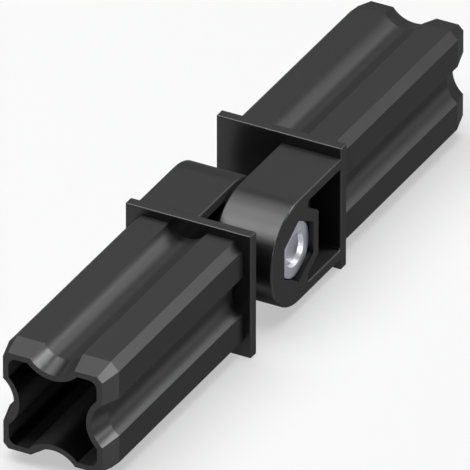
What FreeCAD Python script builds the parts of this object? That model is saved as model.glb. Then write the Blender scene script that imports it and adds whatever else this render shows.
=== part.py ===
import FreeCAD, Part
import os
import re
import Sketcher

# Hinged connector for square tube: two equal moulded halves, a screw and a nut.
# Millimetres. The pivot's centre is the origin, X runs along the tubes, Y along
# the pivot and Z is up. The rear half reaches to +X and has its knuckle on -Y.

# Sizes that can be set one by one: name, value, what it is.
SIZES = [
    ("tube_side", 23.5, "outer side of the square tube, and of the flange"),
    ("tube_wall", 1.5, "wall of the square tube"),
    ("insert_play", 0.1, "insert smaller than the tube's bore by this, in all"),
    ("insert_straight", 43.0, "length of the insert at full section"),
    ("insert_corner", 1.5, "chamfer along the insert's corners"),
    ("lead_in_length", 4.0, "length of the tapered end of the insert"),
    ("lead_in_step", 1.0, "how far the tapered end draws in"),
    ("insert_wall", 2.0, "wall of the hollow insert"),
    ("hollow_corner", 1.5, "corner radius of the hollow"),
    ("groove_radius", 4.2, "radius of the groove along each side of the insert"),
    ("groove_offset", 2.2, "groove's centre outside the side of the insert"),
    ("flange_thickness", 2.0, "thickness of the flange that stops the tube"),
    ("flange_round", 0.25, "rounding of the flange's edges"),
    ("pivot_to_flange", 15.0, "from the pivot to the near face of the flange"),
    ("knuckle_setback", 2.0, "knuckle's top below the flange's top"),
    ("plate_thickness", 1.95, "top and bottom plates of the knuckle"),
    ("knuckle_gap", 0.8, "between the two knuckles outside the contact pads"),
    ("recess_depth", 5.7, "depth of the recess in the knuckle's outer side"),
    ("web_thickness", 1.5, "web between the recesses of the knuckle's two sides"),
    ("pad_inset", 0.35, "edge of the round contact pad inside the boss's flats"),
    ("contact_gap", 0.06, "play between the two contact pads"),
    ("boss_wall", 2.0, "wall of the boss around the hexagonal pocket"),
    ("shoulder_share", 0.58, "how far up from the boss's corner to the plate its slope ends"),
    ("recess_corner", 0.4, "corner radius in the knuckle's recesses"),
    ("rim_round", 0.33, "rounding of the knuckle's rims"),
    ("pocket_play", 0.3, "hexagonal pocket wider than the nut by this"),
    ("pocket_depth", 5.8, "depth of the hexagonal pocket"),
    ("screw_size", 6.0, "thread diameter of the screw"),
    ("screw_recess", 0.9, "screw's end inside the nut's outer face"),
    ("screw_play", 0.16, "bore of the halves wider than the screw by this"),
    ("thread_play", 0.04, "nut's thread wider than the screw by this"),
    ("point_chamfer", 0.3, "chamfer at the screw's end"),
    ("head_play", 0.15, "gap between the head and the pocket's flats"),
    ("head_height", 4.0, "height of the screw's head"),
    ("head_chamfer", 0.5, "chamfer around the screw's head"),
    ("socket_width", 4.0, "hexagonal socket, across its flats"),
    ("socket_depth", 2.3, "depth of the hexagonal socket"),
    ("nut_width", 10.0, "nut across its flats"),
    ("nut_height", 5.0, "height of the nut"),
    ("nut_slope", 0.58, "fall of the nut's corner chamfer across its width"),
    ("nut_countersink", 0.15, "countersink at the nut's thread"),
    ("cut_overrun", 0.5, "how far a turned cut runs past the nut's corners"),
]

# Sizes that follow from the ones above.
DERIVED = [
    ("flange_half", "tube_side / 2"),
    ("insert_half", "(tube_side - 2 * tube_wall - insert_play) / 2"),
    ("insert_edge", "insert_half - insert_corner"),
    ("groove_edge", "sqrt(groove_radius^2 - groove_offset^2)"),
    ("tip_half", "insert_half - lead_in_step"),
    ("tip_edge", "tip_half - insert_corner + (2 - sqrt(2)) * lead_in_step"),
    ("tip_groove_radius", "groove_radius + lead_in_step"),
    ("tip_groove_edge", "sqrt(tip_groove_radius^2 - (groove_offset + lead_in_step)^2)"),
    ("hollow_half", "insert_half - insert_wall"),
    ("hollow_edge", "hollow_half - hollow_corner"),
    ("hollow_rib_radius", "groove_radius + insert_wall"),
    ("hollow_rib_edge", "sqrt(hollow_rib_radius^2 - (groove_offset + insert_wall)^2)"),
    ("flange_face", "pivot_to_flange + flange_thickness"),
    ("lead_in_start", "flange_face + insert_straight"),
    ("insert_end", "lead_in_start + lead_in_length"),
    ("insert_length", "insert_straight + lead_in_length"),
    ("knuckle_radius", "flange_half - knuckle_setback"),
    ("strap_end", "pivot_to_flange + flange_thickness / 2"),
    ("knuckle_inner", "knuckle_gap / 2"),
    ("knuckle_width", "flange_half - knuckle_inner"),
    ("pad_inner", "contact_gap / 2"),
    ("pad_height", "knuckle_inner - pad_inner"),
    ("recess_half", "knuckle_radius - plate_thickness"),
    ("pocket_half", "(nut_width + pocket_play) / 2"),
    ("boss_half", "pocket_half + boss_wall"),
    ("boss_corner", "boss_half / sqrt(3)"),
    ("boss_shoulder", "boss_corner + shoulder_share * (recess_half - boss_corner)"),
    ("hub_cut", "2 * boss_half - sqrt(3) * boss_shoulder"),
    ("contact_pad_radius", "boss_half - pad_inset"),
    ("web_inner", "flange_half - recess_depth - web_thickness"),
    ("inner_depth", "web_inner - knuckle_inner"),
    ("pocket_floor", "flange_half - pocket_depth"),
    ("head_top", "pocket_floor + head_height"),
    ("nut_top", "pocket_floor + nut_height"),
    ("screw_end", "nut_top - screw_recess"),
    ("bore_radius", "(screw_size + screw_play) / 2"),
    ("screw_radius", "screw_size / 2"),
    ("head_radius", "pocket_half - head_play"),
    ("socket_half", "socket_width / 2"),
    ("nut_half", "nut_width / 2"),
    ("thread_radius", "(screw_size + thread_play) / 2"),
    ("nut_corner", "nut_width / sqrt(3)"),
    ("nut_clear", "nut_corner + cut_overrun"),
    ("nut_fall", "(nut_clear - nut_half) * nut_slope"),
]

FULL_TURN = 360
TOUCH = 1e-4

doc = FreeCAD.newDocument("HingedTubeConnector")
sheet = doc.addObject("Spreadsheet::Sheet", "Sizes")


def in_sheet(formula):
    """The formula with each size's name looked up in the sheet."""
    return re.sub(r"\b([a-z]+(?:_[a-z]+)+)\b", r"Sizes.\1", formula)


def value(formula):
    """The formula's value as a number."""
    return float(sheet.evalExpression(in_sheet(formula)))


def bind(thing, path, formula):
    """Tie a property or constraint of a document object to the sheet."""
    thing.setExpression(path, in_sheet(formula))


def fill_sheet():
    """Write the sizes, then the ones that follow from them."""
    for row, (name, size, note) in enumerate(SIZES, start=1):
        sheet.set(f"A{row}", str(size))
        sheet.setAlias(f"A{row}", name)
        sheet.set(f"B{row}", note)
    for row, (name, formula) in enumerate(DERIVED, start=len(SIZES) + 2):
        sheet.set(f"A{row}", "=" + formula)
        sheet.setAlias(f"A{row}", name)
    doc.recompute()


def new_sketch(body, name, plane_role, offset):
    """A sketch on one of the body's origin planes, moved along its normal."""
    sketch = body.newObject("Sketcher::SketchObject", name)
    plane = [item for item in body.Origin.OriginFeatures if item.Role == plane_role][0]
    sketch.AttachmentSupport = [(plane, "")]
    sketch.MapMode = "FlatFace"
    bind(sketch, ".AttachmentOffset.Base.z", offset)
    return sketch


def tie(sketch, kind, name, formula, *points):
    """A named constraint of the sketch, bound to the sheet."""
    sketch.addConstraint(Sketcher.Constraint(kind, *points, abs(value(formula))))
    sketch.renameConstraint(sketch.ConstraintCount - 1, name)
    bind(sketch, f"Constraints.{name}", formula)


def place_point(sketch, edge, end, across, up, name):
    """Hold a point of the sketch at two distances from its origin."""
    for kind, formula, axis in (("DistanceX", across, -2), ("DistanceY", up, -1)):
        if formula == "0":
            sketch.addConstraint(Sketcher.Constraint("PointOnObject", edge, end, axis))
        elif value(formula) < 0:
            tie(sketch, kind, name + kind[-1], f"-({formula})", edge, end, -1, 1)
        else:
            tie(sketch, kind, name + kind[-1], formula, -1, 1, edge, end)


def arc_between(start, end, radius, bulge):
    """The short arc from start to end that bulges right (1) or left (-1) of the way."""
    chord = end.sub(start)
    half = chord.Length / 2
    side = FreeCAD.Vector(chord.y, -chord.x, 0).normalize().multiply(bulge)
    sagitta = radius - max(radius ** 2 - half ** 2, 0) ** 0.5
    middle = start.add(chord.multiply(0.5)).add(side.multiply(sagitta))
    return Part.Arc(start, middle, end)


def arc_ends(sketch, index, start):
    """Which point numbers of an edge are its start and its end along the outline."""
    first = sketch.getPoint(index, 1).distanceToPoint(start)
    last = sketch.getPoint(index, 2).distanceToPoint(start)
    return (1, 2) if first < last else (2, 1)


def draw_outline(sketch, corners):
    """A closed outline. A corner is (across, up), or with (radius, bulge) of the arc after it."""
    spots = [FreeCAD.Vector(value(corner[0]), value(corner[1]), 0) for corner in corners]
    count = len(corners)
    for index, corner in enumerate(corners):
        start = spots[index]
        end = spots[(index + 1) % count]
        if len(corner) == 4:
            sketch.addGeometry(arc_between(start, end, value(corner[2]), corner[3]), False)
        else:
            sketch.addGeometry(Part.LineSegment(start, end), False)
    ends = [arc_ends(sketch, index, spots[index]) for index in range(count)]
    for index in range(count):
        following = (index + 1) % count
        sketch.addConstraint(Sketcher.Constraint(
            "Coincident", index, ends[index][1], following, ends[following][0]))
    for index, corner in enumerate(corners):
        place_point(sketch, index, ends[index][0], corner[0], corner[1], f"corner{index}")
        if len(corner) == 4:
            tie(sketch, "Radius", f"arc{index}", corner[2], index)


def draw_circle(sketch, radius):
    """A circle around the sketch's origin."""
    circle = Part.Circle(FreeCAD.Vector(0, 0, 0), FreeCAD.Vector(0, 0, 1), value(radius))
    sketch.addGeometry(circle, False)
    sketch.addConstraint(Sketcher.Constraint("Coincident", 0, 3, -1, 1))
    tie(sketch, "Radius", "radius", radius, 0)


def rectangle(left, right, bottom, top):
    """The four corners of a rectangle."""
    return [(left, bottom), (right, bottom), (right, top), (left, top)]


def hexagon(half):
    """The six corners of a hexagon with two flats upright, half its width from the centre."""
    low = f"{half} / sqrt(3)"
    high = f"2 * {half} / sqrt(3)"
    return [(half, low), ("0", high), ("-" + half, low),
            ("-" + half, "-" + low), ("0", "-" + high), (half, "-" + low)]


def grooved_square(half, edge, groove_edge, groove_radius, corner_radius=None):
    """A square with a round groove in the middle of each side and cut or round corners."""
    right = [(half, "-" + edge), (half, "-" + groove_edge, groove_radius, -1),
             (half, groove_edge), (half, edge)]
    corners = []
    for turn in range(4):
        for corner in right:
            across, up = corner[0], corner[1]
            for _ in range(turn):
                across, up = opposite(up), across
            corners.append((across, up) + corner[2:])
        if corner_radius:
            corners[-1] = corners[-1][:2] + (corner_radius, 1)
    return corners


def opposite(formula):
    """The formula with its sign turned."""
    return formula[1:] if formula.startswith("-") else "-" + formula


def new_body(label):
    """An empty body with its own label."""
    body = doc.addObject("PartDesign::Body", label)
    body.Label = label
    return body


def add_pad(body, sketch, name, length):
    """Material from the sketch, along its normal."""
    pad = body.newObject("PartDesign::Pad", name)
    pad.Profile = sketch
    bind(pad, "Length", length)
    return pad


def add_pocket(body, sketch, name, length, reversed_way=False):
    """A cut from the sketch, against its normal or along it."""
    pocket = body.newObject("PartDesign::Pocket", name)
    pocket.Profile = sketch
    pocket.Reversed = reversed_way
    bind(pocket, "Length", length)
    return pocket


def add_turned(body, kind, sketch, name):
    """A Revolution or a Groove around the sketch's upright axis."""
    turned = body.newObject("PartDesign::" + kind, name)
    turned.Profile = sketch
    turned.ReferenceAxis = (sketch, ["V_Axis"])
    turned.Angle = FULL_TURN
    return turned


def add_fillet(body, name, radius, wanted):
    """Rounding of the body's edges that pass the test."""
    doc.recompute()
    base = body.Tip
    edges = [f"Edge{number}" for number, edge in enumerate(base.Shape.Edges, start=1)
             if wanted(edge)]
    if not edges:
        raise RuntimeError(f"{name} finds no edge")
    fillet = body.newObject("PartDesign::Fillet", name)
    fillet.Base = (base, edges)
    bind(fillet, "Radius", radius)
    return fillet


def near(one, other):
    """Whether two lengths are the same."""
    return abs(one - other) < TOUCH


def across_knuckle(edge):
    """Whether the edge runs straight along the pivot, as a corner of a recess does."""
    box = edge.BoundBox
    inside = value("hub_cut") - TOUCH < box.XMin and box.XMax < value("pivot_to_flange") + TOUCH
    return near(box.YLength, edge.Length) and inside and box.ZMax < value("knuckle_radius") - TOUCH


def on_knuckle_rim(edge):
    """Whether the edge lies in one of the knuckle's two side faces, outside the flange."""
    box = edge.BoundBox
    sides = (-value("flange_half"), -value("knuckle_inner"))
    flat = any(near(box.YMin, side) and near(box.YMax, side) for side in sides)
    return flat and not near(box.XMin, value("strap_end"))


def make_knuckle():
    """The knuckle: round end and strap with a recess on each side, contact pad, nut pocket and bore."""
    body = new_body("moulded_knuckle")
    strap = new_sketch(body, "StrapSide", "XZ_Plane", "knuckle_inner")
    draw_outline(strap, rectangle("0", "strap_end", "-knuckle_radius", "knuckle_radius"))
    add_pad(body, strap, "Strap", "knuckle_width")
    round_end = new_sketch(body, "RoundEndSide", "XZ_Plane", "knuckle_inner")
    draw_circle(round_end, "knuckle_radius")
    add_pad(body, round_end, "RoundEnd", "knuckle_width")
    for name, place, depth in (("OuterRecess", "flange_half", "recess_depth"),
                               ("InnerRecess", "web_inner", "inner_depth")):
        recess = new_sketch(body, name + "Side", "XZ_Plane", place)
        draw_outline(recess, [
            ("hub_cut", "-recess_half"), ("pivot_to_flange", "-recess_half"),
            ("pivot_to_flange", "recess_half"), ("hub_cut", "recess_half"),
            ("hub_cut", "boss_shoulder"), ("boss_half", "boss_corner"),
            ("boss_half", "-boss_corner"), ("hub_cut", "-boss_shoulder")])
        add_pocket(body, recess, name, depth)
    add_fillet(body, "RecessCorners", "recess_corner", across_knuckle)
    add_fillet(body, "Rims", "rim_round", on_knuckle_rim)
    pad = new_sketch(body, "ContactPadSide", "XZ_Plane", "pad_inner")
    draw_circle(pad, "contact_pad_radius")
    add_pad(body, pad, "ContactPad", "pad_height")
    pocket = new_sketch(body, "NutPocketSide", "XZ_Plane", "flange_half")
    draw_outline(pocket, hexagon("pocket_half"))
    add_pocket(body, pocket, "NutPocket", "pocket_depth")
    bore = new_sketch(body, "BoreSide", "XZ_Plane", "flange_half")
    draw_circle(bore, "bore_radius")
    add_pocket(body, bore, "Bore", "flange_half")
    return body


def make_insert():
    """The flange that stops the tube, and the hollow insert with its tapered end."""
    body = new_body("moulded_insert")
    flange = new_sketch(body, "FlangeSide", "YZ_Plane", "pivot_to_flange")
    draw_outline(flange, rectangle("-flange_half", "flange_half", "-flange_half", "flange_half"))
    add_pad(body, flange, "Flange", "flange_thickness")
    add_fillet(body, "FlangeEdges", "flange_round", lambda edge: True)
    full = ("insert_half", "insert_edge", "groove_edge", "groove_radius")
    section = new_sketch(body, "InsertSection", "YZ_Plane", "flange_face")
    draw_outline(section, grooved_square(*full))
    add_pad(body, section, "Insert", "insert_straight")
    start = new_sketch(body, "LeadInStart", "YZ_Plane", "lead_in_start")
    draw_outline(start, grooved_square(*full))
    end = new_sketch(body, "LeadInEnd", "YZ_Plane", "insert_end")
    draw_outline(end, grooved_square("tip_half", "tip_edge", "tip_groove_edge", "tip_groove_radius"))
    lead_in = body.newObject("PartDesign::AdditiveLoft", "LeadIn")
    lead_in.Profile = start
    lead_in.Sections = [end]
    lead_in.Ruled = True
    hollow = new_sketch(body, "HollowSection", "YZ_Plane", "insert_end")
    draw_outline(hollow, grooved_square(
        "hollow_half", "hollow_edge", "hollow_rib_edge", "hollow_rib_radius", "hollow_corner"))
    add_pocket(body, hollow, "Hollow", "insert_length")
    return body


def make_half(label, knuckle, insert, turn):
    """One moulded half: knuckle and insert in one, turned about Z to its place."""
    half = doc.addObject("Part::Fuse", label)
    half.Label = label
    half.Base = knuckle
    half.Tool = insert
    half.Refine = True
    half.Placement = FreeCAD.Placement(
        FreeCAD.Vector(0, 0, 0), FreeCAD.Rotation(FreeCAD.Vector(0, 0, 1), turn))
    return half


def make_screw():
    """Low-head socket screw: head in the front half's pocket, end inside the nut."""
    body = new_body("pivot_screw")
    profile = new_sketch(body, "ScrewProfile", "XY_Plane", "0")
    draw_outline(profile, [
        ("0", "-screw_end"), ("screw_radius - point_chamfer", "-screw_end"),
        ("screw_radius", "-screw_end + point_chamfer"), ("screw_radius", "pocket_floor"),
        ("head_radius", "pocket_floor"), ("head_radius", "head_top - head_chamfer"),
        ("head_radius - head_chamfer", "head_top"), ("0", "head_top")])
    add_turned(body, "Revolution", profile, "TurnedScrew")
    socket = new_sketch(body, "SocketSide", "XZ_Plane", "-head_top")
    draw_outline(socket, hexagon("socket_half"))
    add_pocket(body, socket, "Socket", "socket_depth", reversed_way=True)
    return body


def make_nut():
    """Hexagon nut in the rear half's pocket, chamfered at its corners and its thread."""
    body = new_body("pivot_nut")
    flats = new_sketch(body, "NutFlats", "XZ_Plane", "pocket_floor")
    draw_outline(flats, hexagon("nut_half"))
    add_pad(body, flats, "NutBlank", "nut_height")
    for name, face, fall in (("Outer", "-nut_top", "nut_fall"), ("Inner", "-pocket_floor", "-nut_fall")):
        corner = new_sketch(body, name + "CornerProfile", "XY_Plane", "0")
        draw_outline(corner, [
            ("nut_half", face), ("nut_clear", face), ("nut_clear", f"{face} + {fall}")])
        add_turned(body, "Groove", corner, name + "Corners")
    thread = new_sketch(body, "ThreadSide", "XZ_Plane", "nut_top")
    draw_circle(thread, "thread_radius")
    add_pocket(body, thread, "Thread", "nut_height")
    for name, face, way in (("Outer", "-nut_top", "nut_countersink"),
                            ("Inner", "-pocket_floor", "-nut_countersink")):
        sink = new_sketch(body, name + "SinkProfile", "XY_Plane", "0")
        draw_outline(sink, [
            ("thread_radius", face), ("thread_radius + nut_countersink", face),
            ("thread_radius", f"{face} + {way}")])
        add_turned(body, "Groove", sink, name + "Sink")
    return body


def check_features():
    """Stop if any object failed, or a feature adds or takes away nothing."""
    for item in doc.Objects:
        if "Invalid" in item.State or "Error" in item.State:
            raise RuntimeError(f"{item.Name} failed: {item.getStatusString()}")
    for body in doc.findObjects("PartDesign::Body"):
        volume = 0
        for item in body.Group:
            if item.isDerivedFrom("PartDesign::Feature"):
                if near(item.Shape.Volume, volume):
                    raise RuntimeError(f"{item.Name} changes nothing")
                volume = item.Shape.Volume


fill_sheet()
knuckle = make_knuckle()
insert = make_insert()
parts = [make_half("rear_half", knuckle, insert, 0), make_half("front_half", knuckle, insert, 180),
         make_screw(), make_nut()]
doc.recompute()
check_features()
os.makedirs("parts", exist_ok=True)
for part in parts:
    shape = part.Shape
    if shape.isNull() or not shape.isValid() or len(shape.Solids) != 1:
        raise RuntimeError(f"{part.Label} is not one valid solid")
    shape.exportStep(os.path.join("parts", part.Label + ".step"))
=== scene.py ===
import math

import bmesh
import bpy
from bpy.props import FloatProperty, FloatVectorProperty, IntProperty, PointerProperty
from mathutils import Matrix, Vector


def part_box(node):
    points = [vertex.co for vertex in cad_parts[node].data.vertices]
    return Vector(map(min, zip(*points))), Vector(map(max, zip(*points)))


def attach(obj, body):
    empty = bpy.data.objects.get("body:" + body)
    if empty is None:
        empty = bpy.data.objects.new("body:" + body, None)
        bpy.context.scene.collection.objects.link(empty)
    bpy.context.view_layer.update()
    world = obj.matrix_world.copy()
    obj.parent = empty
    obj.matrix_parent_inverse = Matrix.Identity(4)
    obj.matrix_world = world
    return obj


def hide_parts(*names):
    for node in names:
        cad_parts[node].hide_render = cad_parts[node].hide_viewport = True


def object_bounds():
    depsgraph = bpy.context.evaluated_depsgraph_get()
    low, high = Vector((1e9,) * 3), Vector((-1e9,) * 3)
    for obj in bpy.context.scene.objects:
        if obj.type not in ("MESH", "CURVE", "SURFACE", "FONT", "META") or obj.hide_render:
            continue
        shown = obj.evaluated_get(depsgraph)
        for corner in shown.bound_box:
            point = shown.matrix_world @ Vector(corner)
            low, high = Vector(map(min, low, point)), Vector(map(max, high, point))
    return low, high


bl_info = {
    "name": "Hinged Tube Connector",
    "version": (1, 0, 0),
    "blender": (4, 5, 0),
    "location": "3D View > Sidebar > Connector",
    "description": "Finishes, screw, nut and studio for a hinged connector of square tube",
    "category": "Object",
}

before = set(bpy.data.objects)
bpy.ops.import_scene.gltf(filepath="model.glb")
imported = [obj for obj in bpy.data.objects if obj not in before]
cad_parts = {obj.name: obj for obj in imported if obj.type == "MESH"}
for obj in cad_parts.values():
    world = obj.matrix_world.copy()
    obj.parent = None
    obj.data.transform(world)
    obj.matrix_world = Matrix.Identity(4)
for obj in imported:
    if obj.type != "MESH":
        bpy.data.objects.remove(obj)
cad_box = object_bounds()
screw_low, screw_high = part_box("pivot_screw")
nut_low, nut_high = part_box("pivot_nut")

HEAD_RADIUS = (screw_high.x - screw_low.x) / 2
NUT_HALF = (nut_high.x - nut_low.x) / 2
HEX_CORNERS = 6
# Share of the thread's pitch that its two sloping flanks take.
THREAD_FLANK = 0.6
# Turns below the screw's head that carry no thread.
PLAIN_TURNS = 2
# The head's rounding, as a multiple of the other turned edges'.
HEAD_ROUNDING = 3
# Between these two values of Layer Weight's facing, the plastic turns from satin to matt.
LOW_ANGLE_START = 0.36
LOW_ANGLE_END = 0.6
# Levels of detail in the noise of the soft patches and of the fine grain.
PATCH_DETAIL = 4
GRAIN_DETAIL = 2
# Edges sharper than these angles stay sharp.
SCREW_EDGE_DEGREES = 30
NUT_EDGE_DEGREES = 20
WHITE = (1.0, 1.0, 1.0)
# Half the floor's width, and how far the lamps stand from the pivot, in metres.
FLOOR_HALF = 20
LAMP_DISTANCE = 1.2
# The camera's clip range, in parts of its distance.
CLIP_START = 0.01
CLIP_END = 10
# The plain light shows in no reflection. It stands above and a little behind. Its values are in the
# order of the cards'.
PLAIN_LIGHT = ("plain_light", (-0.10, 0.15, 1.0), 1.6, 3.2)
# The cards show in reflections only. Each has its name, the direction that it stands in, its width in
# metres and its radiance.
CARDS = (
    ("key", (0.36, -0.62, 0.69), 0.35, 20.0),
    ("top_key", (0.36, -0.39, 0.85), 0.35, 14.5),
    ("low_near", (0.38, -0.88, 0.28), 0.35, 9.5),
    ("top_left", (-0.54, 0.40, 0.74), 0.5, 11.0),
    ("top_left_inner", (-0.37, 0.40, 0.84), 0.4, 2.0),
    ("top_middle", (-0.16, 0.40, 0.90), 0.5, 7.0),
    ("top_right", (0.12, 0.40, 0.91), 0.5, 4.0),
    ("top_near_right", (0.40, 0.05, 0.91), 0.35, 7.0),
    ("top_far_right", (0.41, 0.24, 0.88), 0.5, 3.0),
    ("right_near", (0.56, -0.56, 0.62), 0.5, 7.0),
    ("right", (0.76, -0.13, 0.64), 0.5, 2.5),
    ("right_low", (0.76, -0.60, 0.24), 0.4, 1.0),
    ("front_left", (-0.30, -0.72, 0.63), 0.35, 4.0),
    ("end_fill", (-0.90, -0.25, 0.30), 0.5, 6.0),
    ("mouth_fill", (-0.83, -0.16, 0.53), 0.45, 9.0),
)


class PlasticLook(bpy.types.PropertyGroup):
    """Finish of the two moulded halves."""

    colour: FloatVectorProperty(
        name="Colour", description="Colour of the moulded plastic", subtype="COLOR",
        default=(0.005, 0.005, 0.0053), min=0, max=1)
    colour_spread: FloatProperty(
        name="Colour spread", description="How far the tone drifts over the surface",
        default=0.18, min=0, max=1)
    roughness: FloatProperty(
        name="Roughness", description="Roughness seen face on", default=0.33, min=0, max=1)
    grazing_roughness: FloatProperty(
        name="Grazing roughness",
        description="Roughness seen at a low angle, where the mould's texture shades",
        default=1.0, min=0, max=1)
    roughness_spread: FloatProperty(
        name="Roughness spread", description="How far the roughness drifts over the surface",
        default=0.1, min=0, max=1)
    specular: FloatProperty(
        name="Specular", description="Strength of the reflection", default=0.42, min=0, max=1)
    grain_size: FloatProperty(
        name="Grain size", description="Size of the mould's fine texture", subtype="DISTANCE",
        unit="LENGTH", default=0.00018, min=0.00001)
    grain_height: FloatProperty(
        name="Grain height", description="Height of the mould's fine texture", subtype="DISTANCE",
        unit="LENGTH", default=0.0000035, min=0)
    patch_size: FloatProperty(
        name="Patch size", description="Size of the soft patches in tone and gloss",
        subtype="DISTANCE", unit="LENGTH", default=0.009, min=0.0001)


class HardwareLook(bpy.types.PropertyGroup):
    """Finish and details of the screw and the nut."""

    colour: FloatVectorProperty(
        name="Colour", description="Colour of the zinc plating", subtype="COLOR",
        default=(0.31, 0.317, 0.352), min=0, max=1)
    # The screw's colour is the nut's zinc darkened, which paints shade on the screw's end, where the
    # light falls brighter.
    screw_shaded_colour: FloatVectorProperty(
        name="Screw colour", description="Zinc colour darkened to paint shade on the screw's lit end",
        subtype="COLOR", default=(0.235, 0.24, 0.268), min=0, max=1)
    # The mouth's light colour is a painted highlight: it makes the nut's mouth shine white, as a
    # reflection would.
    mouth_highlight_colour: FloatVectorProperty(
        name="Mouth colour", description="Light colour of the nut's mouth, which paints a highlight", subtype="COLOR",
        default=(0.7, 0.71, 0.74), min=0, max=1)
    colour_spread: FloatProperty(
        name="Colour spread", description="How far the plating's tone drifts", default=0.12,
        min=0, max=1)
    roughness: FloatProperty(
        name="Roughness", description="Roughness of the plating", default=0.42, min=0, max=1)
    roughness_spread: FloatProperty(
        name="Roughness spread", description="How far the plating's roughness drifts",
        default=0.06, min=0, max=1)
    grain_size: FloatProperty(
        name="Grain size", description="Size of the plating's fine grain", subtype="DISTANCE",
        unit="LENGTH", default=0.00012, min=0.00001)
    grain_height: FloatProperty(
        name="Grain height", description="Height of the plating's fine grain", subtype="DISTANCE",
        unit="LENGTH", default=0.000001, min=0)
    patch_size: FloatProperty(
        name="Patch size", description="Size of the patches in tone and gloss",
        subtype="DISTANCE", unit="LENGTH", default=0.0016, min=0.0001)
    thread_pitch: FloatProperty(
        name="Thread pitch", description="Advance of the thread in one turn", subtype="DISTANCE",
        unit="LENGTH", default=0.001, min=0.0001)
    thread_depth: FloatProperty(
        name="Thread depth", description="Depth of the thread's groove", subtype="DISTANCE",
        unit="LENGTH", default=0.0006, min=0)
    thread_play: FloatProperty(
        name="Thread play", description="Gap between the screw's thread and the nut's",
        subtype="DISTANCE", unit="LENGTH", default=0.00004, min=0)
    mouth_radius: FloatProperty(
        name="Mouth radius", description="Radius of the nut's hole at its faces",
        subtype="DISTANCE", unit="LENGTH", default=0.00308, min=0.0005)
    mouth_depth: FloatProperty(
        name="Mouth depth", description="Depth at which the nut's thread begins",
        subtype="DISTANCE", unit="LENGTH", default=0.00087, min=0)
    mouth_slope: FloatProperty(
        name="Mouth slope", description="How fast the nut's smooth mouth narrows with its depth",
        default=0.3, min=0)
    end_chamfer: FloatProperty(
        name="End chamfer", description="Chamfer at the screw's threaded end", subtype="DISTANCE",
        unit="LENGTH", default=0.00024, min=0)
    screw_radius: FloatProperty(
        name="Screw radius", description="Outer radius of the screw's thread", subtype="DISTANCE",
        unit="LENGTH", default=0.003, min=0.0005)
    head_height: FloatProperty(
        name="Head height", description="Height of the screw's head", subtype="DISTANCE",
        unit="LENGTH", default=0.004, min=0.0005)
    socket_half: FloatProperty(
        name="Socket half width", description="Half the hexagonal socket across its flats",
        subtype="DISTANCE", unit="LENGTH", default=0.002, min=0.0005)
    socket_depth: FloatProperty(
        name="Socket depth", description="Depth of the hexagonal socket", subtype="DISTANCE",
        unit="LENGTH", default=0.0023, min=0.0001)
    edge_round: FloatProperty(
        name="Edge rounding", description="Rounding of the hardware's turned edges",
        subtype="DISTANCE", unit="LENGTH", default=0.00012, min=0)
    nut_slope: FloatProperty(
        name="Nut chamfer slope", description="Fall of the nut's corner chamfer across its width",
        default=0.66, min=0)
    segments: IntProperty(
        name="Segments", description="Steps around the screw and the nut", default=96, min=24)
    rings_per_turn: IntProperty(
        name="Rings per turn", description="Rings along one turn of the thread", default=12, min=4)


class StudioLook(bpy.types.PropertyGroup):
    """Camera, lamps and floor."""

    camera_azimuth: FloatProperty(
        name="Azimuth", description="Direction that the camera looks from, about the upright axis",
        subtype="ANGLE", unit="ROTATION", default=math.radians(-62.0338))
    camera_elevation: FloatProperty(
        name="Elevation", description="Height of the camera above the horizon",
        subtype="ANGLE", unit="ROTATION", default=math.radians(31.1947))
    picture_width: FloatProperty(
        name="Picture width", description="Width of what the camera sees at the connector",
        subtype="DISTANCE", unit="LENGTH", default=0.077925, min=0.001)
    lens: FloatProperty(
        name="Lens", description="Focal length, long so that parallel edges look nearly parallel",
        subtype="DISTANCE_CAMERA", unit="CAMERA", default=1500, min=1)
    aim_right: FloatProperty(
        name="Aim right", description="How far right of the pivot the camera looks",
        subtype="DISTANCE", unit="LENGTH", default=-0.00022)
    aim_up: FloatProperty(
        name="Aim up", description="How far above the pivot the camera looks",
        subtype="DISTANCE", unit="LENGTH", default=-0.0002)
    world_strength: FloatProperty(
        name="World strength", description="Even light from all around", default=0.02, min=0)
    floor_colour: FloatVectorProperty(
        name="Floor colour", description="Colour of the pale floor", subtype="COLOR",
        default=(0.93, 0.93, 0.93), min=0, max=1)
    floor_white: FloatProperty(
        name="Floor white", description="Share of the floor's look that is plain white",
        default=0.5, min=0, max=1)


def new_material(name):
    """A node material with its shader: the material, its node tree and the shader."""
    material = bpy.data.materials.new(name)
    material.use_nodes = True
    tree = material.node_tree
    return material, tree, tree.nodes["Principled BSDF"]


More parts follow.
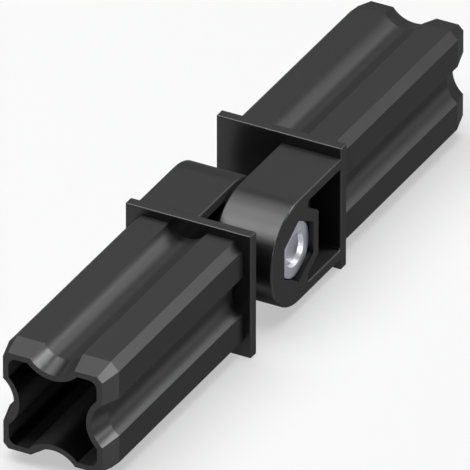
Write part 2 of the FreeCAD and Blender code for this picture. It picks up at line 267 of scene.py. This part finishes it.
def surface_group():
    """A group with patches, fine grain and a bump, for every finish here."""
    name = "patches_and_grain"
    if name in bpy.data.node_groups:
        return bpy.data.node_groups[name]
    group = bpy.data.node_groups.new(name, "ShaderNodeTree")
    sockets = group.interface
    sockets.new_socket("Vector", in_out="INPUT", socket_type="NodeSocketVector")
    for label, default in (
            ("Patch scale", 100.0), ("Grain scale", 5000.0), ("Grain height", 0.000003),
            ("Colour spread", 0.1), ("Roughness", 0.4), ("Roughness spread", 0.05)):
        socket = sockets.new_socket(label, in_out="INPUT", socket_type="NodeSocketFloat")
        socket.default_value = default
    sockets.new_socket("Colour", in_out="INPUT", socket_type="NodeSocketColor")
    sockets.new_socket("Colour", in_out="OUTPUT", socket_type="NodeSocketColor")
    sockets.new_socket("Roughness", in_out="OUTPUT", socket_type="NodeSocketFloat")
    sockets.new_socket("Normal", in_out="OUTPUT", socket_type="NodeSocketVector")
    nodes, links = group.nodes, group.links
    given = nodes.new("NodeGroupInput")
    result = nodes.new("NodeGroupOutput")

    patches = nodes.new("ShaderNodeTexNoise")
    patches.inputs["Detail"].default_value = PATCH_DETAIL
    links.new(given.outputs["Vector"], patches.inputs["Vector"])
    links.new(given.outputs["Patch scale"], patches.inputs["Scale"])
    grain = nodes.new("ShaderNodeTexNoise")
    grain.inputs["Detail"].default_value = GRAIN_DETAIL
    links.new(given.outputs["Vector"], grain.inputs["Vector"])
    links.new(given.outputs["Grain scale"], grain.inputs["Scale"])

    tone = spread_around_one(group, patches.outputs["Fac"], given.outputs["Colour spread"])
    colour = nodes.new("ShaderNodeVectorMath")
    colour.operation = "SCALE"
    links.new(given.outputs["Colour"], colour.inputs[0])
    links.new(tone, colour.inputs["Scale"])
    links.new(colour.outputs["Vector"], result.inputs["Colour"])

    mixed = nodes.new("ShaderNodeMath")
    mixed.operation = "ADD"
    links.new(patches.outputs["Fac"], mixed.inputs[0])
    links.new(grain.outputs["Fac"], mixed.inputs[1])
    centred = nodes.new("ShaderNodeMath")
    centred.operation = "SUBTRACT"
    centred.inputs[1].default_value = 1.0
    links.new(mixed.outputs["Value"], centred.inputs[0])
    rough = nodes.new("ShaderNodeMath")
    rough.operation = "MULTIPLY_ADD"
    links.new(centred.outputs["Value"], rough.inputs[0])
    links.new(given.outputs["Roughness spread"], rough.inputs[1])
    links.new(given.outputs["Roughness"], rough.inputs[2])
    links.new(rough.outputs["Value"], result.inputs["Roughness"])

    bump = nodes.new("ShaderNodeBump")
    links.new(grain.outputs["Fac"], bump.inputs["Height"])
    links.new(given.outputs["Grain height"], bump.inputs["Distance"])
    links.new(bump.outputs["Normal"], result.inputs["Normal"])
    return group


def spread_around_one(group, value, spread):
    """One plus the value's distance from a half, times twice the spread."""
    centred = group.nodes.new("ShaderNodeMath")
    centred.operation = "MULTIPLY_ADD"
    centred.inputs[1].default_value = 2.0
    centred.inputs[2].default_value = -1.0
    group.links.new(value, centred.inputs[0])
    around = group.nodes.new("ShaderNodeMath")
    around.operation = "MULTIPLY_ADD"
    around.inputs[2].default_value = 1.0
    group.links.new(centred.outputs["Value"], around.inputs[0])
    group.links.new(spread, around.inputs[1])
    return around.outputs["Value"]


def place_surface_group(tree, look, colour):
    """The surface group in a material, fed with that finish's values and a colour."""
    place = tree.nodes.new("ShaderNodeTexCoord")
    surface = tree.nodes.new("ShaderNodeGroup")
    surface.node_tree = surface_group()
    tree.links.new(place.outputs["Object"], surface.inputs["Vector"])
    surface.inputs["Patch scale"].default_value = 1 / look.patch_size
    surface.inputs["Grain scale"].default_value = 1 / look.grain_size
    surface.inputs["Grain height"].default_value = look.grain_height
    surface.inputs["Colour spread"].default_value = look.colour_spread
    surface.inputs["Roughness"].default_value = look.roughness
    surface.inputs["Roughness spread"].default_value = look.roughness_spread
    surface.inputs["Colour"].default_value = (*colour, 1)
    return surface


def link_surface(tree, surface, shader, roughness):
    """Feed the group's colour and normal and a roughness to the material's shader."""
    tree.links.new(surface.outputs["Colour"], shader.inputs["Base Color"])
    tree.links.new(roughness, shader.inputs["Roughness"])
    tree.links.new(surface.outputs["Normal"], shader.inputs["Normal"])


def plastic_material(look):
    """Black moulded plastic: satin face on, and matt at a low angle."""
    material, tree, shader = new_material("black_moulded_plastic")
    shader.distribution = "GGX"
    surface = place_surface_group(tree, look, look.colour)
    facing = tree.nodes.new("ShaderNodeLayerWeight")
    facing.inputs["Blend"].default_value = 0.5
    low_angle = tree.nodes.new("ShaderNodeMapRange")
    low_angle.interpolation_type = "SMOOTHSTEP"
    low_angle.inputs["From Min"].default_value = LOW_ANGLE_START
    low_angle.inputs["From Max"].default_value = LOW_ANGLE_END
    low_angle.inputs["To Max"].default_value = look.grazing_roughness - look.roughness
    tree.links.new(facing.outputs["Facing"], low_angle.inputs["Value"])
    rough = tree.nodes.new("ShaderNodeMath")
    rough.operation = "ADD"
    tree.links.new(surface.outputs["Roughness"], rough.inputs[0])
    tree.links.new(low_angle.outputs["Result"], rough.inputs[1])
    link_surface(tree, surface, shader, rough.outputs["Value"])
    shader.inputs["Specular IOR Level"].default_value = look.specular
    return material


def metal_material(name, look, colour):
    """Metal with soft patches in its tone and gloss: plated zinc, zinc darkened to paint shade, or a
    light colour that paints a highlight.
    """
    material, tree, shader = new_material(name)
    surface = place_surface_group(tree, look, colour)
    link_surface(tree, surface, shader, surface.outputs["Roughness"])
    shader.inputs["Metallic"].default_value = 1
    return material


def hexagon_radius(angle, half):
    """Distance from the centre to a hexagon's side, with two of its flats across X."""
    sector = 2 * math.pi / HEX_CORNERS
    from_flat = (angle + sector / 2) % sector - sector / 2
    return half / math.cos(from_flat)


def thread_radius(angle, along, crest, depth, pitch):
    """Radius of a screw thread's surface at one angle and one place along its axis."""
    share = (along / pitch + angle / (2 * math.pi)) % 1
    height = abs(2 * share - 1)
    flat = (1 - THREAD_FLANK) / 2
    climbed = min(max((height - flat) / THREAD_FLANK, 0), 1)
    return crest - depth * climbed


def ring_stack(name, segments, rings):
    """A closed mesh lofted through rings about the Y axis. A ring gives (radius, Y) at an angle."""
    mesh = bmesh.new()
    made = bmesh.ops.create_circle(mesh, segments=segments, radius=1)
    corners = sorted(made["verts"], key=lambda corner: math.atan2(corner.co.y, corner.co.x))
    angles = [2 * math.pi * index / segments for index in range(segments)]
    place_ring(corners, angles, rings[0])
    edges = mesh.edges[:]
    bmesh.ops.contextual_create(mesh, geom=edges)
    for ring in rings[1:]:
        made = bmesh.ops.extrude_edge_only(mesh, edges=edges)["geom"]
        edges = [item for item in made if isinstance(item, bmesh.types.BMEdge)]
        fresh = {item for item in made if isinstance(item, bmesh.types.BMVert)}
        corners = [next(edge.other_vert(corner) for edge in corner.link_edges
                        if edge.other_vert(corner) in fresh) for corner in corners]
        place_ring(corners, angles, ring)
    bmesh.ops.contextual_create(mesh, geom=edges)
    bmesh.ops.recalc_face_normals(mesh, faces=mesh.faces[:])
    data = bpy.data.meshes.new(name)
    mesh.to_mesh(data)
    mesh.free()
    piece = bpy.data.objects.new(name, data)
    bpy.context.scene.collection.objects.link(piece)
    return piece


def place_ring(corners, angles, ring):
    """Put a ring's corners at the radius and the place along Y that it gives."""
    for corner, angle in zip(corners, angles):
        radius, along = ring(angle)
        corner.co = Vector((radius * math.cos(angle), along, radius * math.sin(angle)))


def round_ring(radius, along):
    """A plain round ring."""
    return lambda angle: (radius, along)


def hexagon_ring(half, along):
    """A ring that follows a hexagon."""
    return lambda angle: (hexagon_radius(angle, half), along)


def rounded_step(radius, along, inward, turn, size, steps=4):
    """Rings round a turned edge, from the side at this radius to the end face at this place."""
    rings = []
    for step in range(steps + 1):
        angle = math.pi / 2 * step / steps
        across = radius - inward * size * (1 - math.cos(angle))
        back = along - turn * size * (1 - math.sin(angle))
        rings.append(round_ring(across, back))
    return rings


def shade(piece, angle_degrees):
    """Smooth shading that keeps edges sharper than the angle."""
    data = piece.data
    data.shade_smooth()
    data.set_sharp_from_angle(angle=math.radians(angle_degrees))


def finish_piece(piece, material):
    """Give a new piece its material."""
    piece.data.materials.append(material)


class CONNECTOR_OT_halves(bpy.types.Operator):
    """Finish the two moulded halves of the connector"""

    bl_idname = "connector.halves"
    bl_label = "Moulded halves"

    def execute(self, context):
        material = plastic_material(context.scene.connector_plastic)
        for name in ("front_half", "rear_half"):
            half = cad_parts[name]
            half.data.materials.clear()
            half.data.materials.append(material)
        return {"FINISHED"}


class CONNECTOR_OT_screw(bpy.types.Operator):
    """Build the pivot screw with its socket, rounded head and thread"""

    bl_idname = "connector.screw"
    bl_label = "Pivot screw"

    def execute(self, context):
        look = context.scene.connector_hardware
        radius = look.screw_radius
        end = screw_low.y
        top = screw_high.y
        seat = top - look.head_height
        rings = [hexagon_ring(look.socket_half, top - look.socket_depth),
                 hexagon_ring(look.socket_half, top - look.edge_round),
                 hexagon_ring(look.socket_half + look.edge_round, top)]
        rings += reversed(rounded_step(HEAD_RADIUS, top, 1, 1, HEAD_ROUNDING * look.edge_round))
        rings += rounded_step(HEAD_RADIUS, seat, 1, -1, look.edge_round)
        rings.append(round_ring(radius, seat))
        turns = (seat - end) / look.thread_pitch
        count = round(turns * look.rings_per_turn)
        for index in range(1, count):
            along = seat + (end - seat) * index / count
            rings.append(self.thread_ring(look, along, seat, end))
        rings.append(round_ring(radius - look.end_chamfer, end))
        piece = ring_stack("pivot_screw_body", look.segments, rings)
        shade(piece, SCREW_EDGE_DEGREES)
        # The screw's zinc is darkened here to paint shade on its brightly lit end.
        material = metal_material("zinc_screw_with_painted_shade", look, look.screw_shaded_colour)
        finish_piece(piece, material)
        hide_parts("pivot_screw")
        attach(piece, "rear")
        return {"FINISHED"}

    def thread_ring(self, look, along, seat, end):
        """A ring of the thread, which fades in below the head and is chamfered at the end."""
        fade = min(max((seat - along) / look.thread_pitch - PLAIN_TURNS, 0), 1)
        limit = look.screw_radius - max(look.end_chamfer - (along - end), 0)

        def ring(angle):
            threaded = thread_radius(
                angle, along, look.screw_radius, look.thread_depth * fade, look.thread_pitch)
            return min(threaded, limit), along

        return ring


class CONNECTOR_OT_nut(bpy.types.Operator):
    """Build the hexagon nut with its chamfered corners and its thread"""

    bl_idname = "connector.nut"
    bl_label = "Pivot nut"

    def execute(self, context):
        look = context.scene.connector_hardware
        outer = nut_low.y
        inner = nut_high.y
        rings = [self.land_ring(look, inner), self.corner_ring(look, inner, 1),
                 self.corner_ring(look, outer, -1), self.land_ring(look, outer)]
        count = round((inner - outer) / look.thread_pitch * look.rings_per_turn)
        for index in range(count + 1):
            along = outer + (inner - outer) * index / count
            rings.append(self.bore_ring(look, along, min(along - outer, inner - along)))
        piece = self.close_bore(ring_stack("pivot_nut_body", look.segments, rings))
        shade(piece, NUT_EDGE_DEGREES)
        material = metal_material("zinc_plated_nut", look, look.colour)
        finish_piece(piece, material)
        self.paint_mouth_highlight(look, piece)
        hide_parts("pivot_nut")
        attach(piece, "rear")
        return {"FINISHED"}

    def land_ring(self, look, face):
        """The round edge of the flat on one face of the nut."""
        return round_ring(NUT_HALF - look.edge_round / 2, face)

    def corner_ring(self, look, face, way):
        """The curved edge where the corner chamfer meets the six flats."""
        def ring(angle):
            radius = hexagon_radius(angle, NUT_HALF)
            fall = (radius - NUT_HALF + look.edge_round / 2) * look.nut_slope
            return radius, face - way * fall

        return ring

    def bore_ring(self, look, along, depth):
        """A ring of the hole: a smooth mouth near each face, and the thread between the two."""
        if depth < look.mouth_depth:
            return round_ring(look.mouth_radius - look.mouth_slope * depth, along)

        def ring(angle):
            threaded = thread_radius(
                angle, along, look.screw_radius, look.thread_depth, look.thread_pitch)
            return look.thread_play + threaded, along

        return ring

    def paint_mouth_highlight(self, look, piece):
        """Give the smooth mouth at both faces a light metal colour that paints a highlight there."""
        material = metal_material("steel_with_painted_highlight", look, look.mouth_highlight_colour)
        piece.data.materials.append(material)
        for face in piece.data.polygons:
            centre = face.center
            depth = min(centre.y - nut_low.y, nut_high.y - centre.y)
            if 0 < depth < look.mouth_depth and math.hypot(centre.x, centre.z) < look.mouth_radius:
                face.material_index = 1

    def close_bore(self, piece):
        """Open the stack's two end caps, its only faces with over four corners, and join their rims."""
        mesh = bmesh.new()
        mesh.from_mesh(piece.data)
        caps = [face for face in mesh.faces if len(face.verts) > 4]
        bmesh.ops.delete(mesh, geom=caps, context="FACES_ONLY")
        open_edges = [edge for edge in mesh.edges if edge.is_boundary]
        bmesh.ops.bridge_loops(mesh, edges=open_edges)
        bmesh.ops.recalc_face_normals(mesh, faces=mesh.faces[:])
        mesh.to_mesh(piece.data)
        mesh.free()
        return piece


class CONNECTOR_OT_studio(bpy.types.Operator):
    """Set the camera, the lamps and the pale floor"""

    bl_idname = "connector.studio"
    bl_label = "Studio"

    def execute(self, context):
        look = context.scene.connector_studio
        self.set_camera(look)
        self.set_world(look)
        self.set_softbox(*PLAIN_LIGHT).visible_glossy = False
        for card in CARDS:
            self.set_softbox(*card).visible_diffuse = False
        self.set_floor(look)
        context.scene.view_settings.view_transform = "Standard"
        return {"FINISHED"}

    def set_camera(self, look):
        """A camera far off with a long lens, so that parallel edges look nearly parallel."""
        data = bpy.data.cameras.new("camera")
        data.lens_unit = "MILLIMETERS"
        data.lens = look.lens
        distance = look.picture_width * data.lens / data.sensor_width
        data.clip_start = distance * CLIP_START
        data.clip_end = distance * CLIP_END
        camera = bpy.data.objects.new("camera", data)
        bpy.context.scene.collection.objects.link(camera)
        azimuth, elevation = look.camera_azimuth, look.camera_elevation
        right = Vector((math.cos(azimuth), math.sin(azimuth), 0))
        up = Vector((-math.sin(azimuth) * math.sin(elevation),
                     math.cos(azimuth) * math.sin(elevation), math.cos(elevation)))
        back = right.cross(up)
        pose = Matrix((right, up, back)).transposed().to_4x4()
        pose.translation = right * look.aim_right + up * look.aim_up + back * distance
        camera.matrix_world = pose
        bpy.context.scene.camera = camera

    def set_world(self, look):
        """An even world light."""
        world = bpy.data.worlds.new("studio_world")
        world.use_nodes = True
        background = world.node_tree.nodes["Background"]
        background.inputs["Color"].default_value = (*WHITE, 1)
        background.inputs["Strength"].default_value = look.world_strength
        bpy.context.scene.world = world

    def set_softbox(self, name, direction, size, radiance):
        """A round softbox that faces the connector. Its power is pi times its area and radiance."""
        data = bpy.data.lights.new(name, "AREA")
        data.shape = "DISK"
        data.size = size
        data.energy = radiance * math.pi * math.pi * size ** 2 / 4
        lamp = bpy.data.objects.new(name, data)
        bpy.context.scene.collection.objects.link(lamp)
        towards = Vector(direction).normalized()
        lamp.location = towards * LAMP_DISTANCE
        lamp.rotation_euler = towards.to_track_quat("Z", "Y").to_euler()
        lamp.visible_camera = False
        return lamp

    def set_floor(self, look):
        """A wide pale floor that the connector lies on."""
        mesh = bmesh.new()
        bmesh.ops.create_grid(mesh, x_segments=1, y_segments=1, size=FLOOR_HALF)
        bmesh.ops.translate(mesh, verts=mesh.verts[:], vec=(0, 0, cad_box[0].z))
        data = bpy.data.meshes.new("floor")
        mesh.to_mesh(data)
        mesh.free()
        floor = bpy.data.objects.new("floor", data)
        bpy.context.scene.collection.objects.link(floor)
        floor.data.materials.append(self.floor_material(look))

    def floor_material(self, look):
        """Pale and matt, and mostly white to the camera and in reflections, with its shadow kept."""
        material, tree, shader = new_material("pale_floor")
        shader.inputs["Base Color"].default_value = (*look.floor_colour, 1)
        shader.inputs["Roughness"].default_value = 1
        shader.inputs["Specular IOR Level"].default_value = 0
        white = tree.nodes.new("ShaderNodeEmission")
        white.inputs["Color"].default_value = (*WHITE, 1)
        white.inputs["Strength"].default_value = 1
        rays = tree.nodes.new("ShaderNodeLightPath")
        seen = rays.outputs["Is Camera Ray"]
        for kind in ("Is Glossy Ray", "Is Transmission Ray"):
            either = tree.nodes.new("ShaderNodeMath")
            either.operation = "MAXIMUM"
            tree.links.new(seen, either.inputs[0])
            tree.links.new(rays.outputs[kind], either.inputs[1])
            seen = either.outputs["Value"]
        share = tree.nodes.new("ShaderNodeMath")
        share.operation = "MULTIPLY"
        share.inputs[1].default_value = look.floor_white
        tree.links.new(seen, share.inputs[0])
        mix = tree.nodes.new("ShaderNodeMixShader")
        tree.links.new(share.outputs["Value"], mix.inputs[0])
        tree.links.new(shader.outputs["BSDF"], mix.inputs[1])
        tree.links.new(white.outputs["Emission"], mix.inputs[2])
        tree.links.new(mix.outputs["Shader"], tree.nodes["Material Output"].inputs["Surface"])
        return material


class CONNECTOR_PT_panel(bpy.types.Panel):
    """The connector's finishes and the steps that build it"""

    bl_idname = "CONNECTOR_PT_panel"
    bl_label = "Tube Connector"
    bl_space_type = "VIEW_3D"
    bl_region_type = "UI"
    bl_category = "Connector"

    def draw(self, context):
        scene = context.scene
        for look in (scene.connector_plastic, scene.connector_hardware, scene.connector_studio):
            box = self.layout.box()
            for name in look.__annotations__:
                box.prop(look, name)
        for operator in OPERATORS:
            self.layout.operator(operator.bl_idname)


LOOKS = (
    ("connector_plastic", PlasticLook),
    ("connector_hardware", HardwareLook),
    ("connector_studio", StudioLook),
)
OPERATORS = (CONNECTOR_OT_halves, CONNECTOR_OT_screw, CONNECTOR_OT_nut, CONNECTOR_OT_studio)


def register():
    for name, look in LOOKS:
        bpy.utils.register_class(look)
        setattr(bpy.types.Scene, name, PointerProperty(type=look))
    for operator in OPERATORS:
        bpy.utils.register_class(operator)
    bpy.utils.register_class(CONNECTOR_PT_panel)


def unregister():
    bpy.utils.unregister_class(CONNECTOR_PT_panel)
    for operator in reversed(OPERATORS):
        bpy.utils.unregister_class(operator)
    for name, look in reversed(LOOKS):
        delattr(bpy.types.Scene, name)
        bpy.utils.unregister_class(look)


def main():
    """Build everything in order."""
    register()
    bpy.ops.connector.halves()
    bpy.ops.connector.screw()
    bpy.ops.connector.nut()
    bpy.ops.connector.studio()


if __name__ == "__main__":
    main()
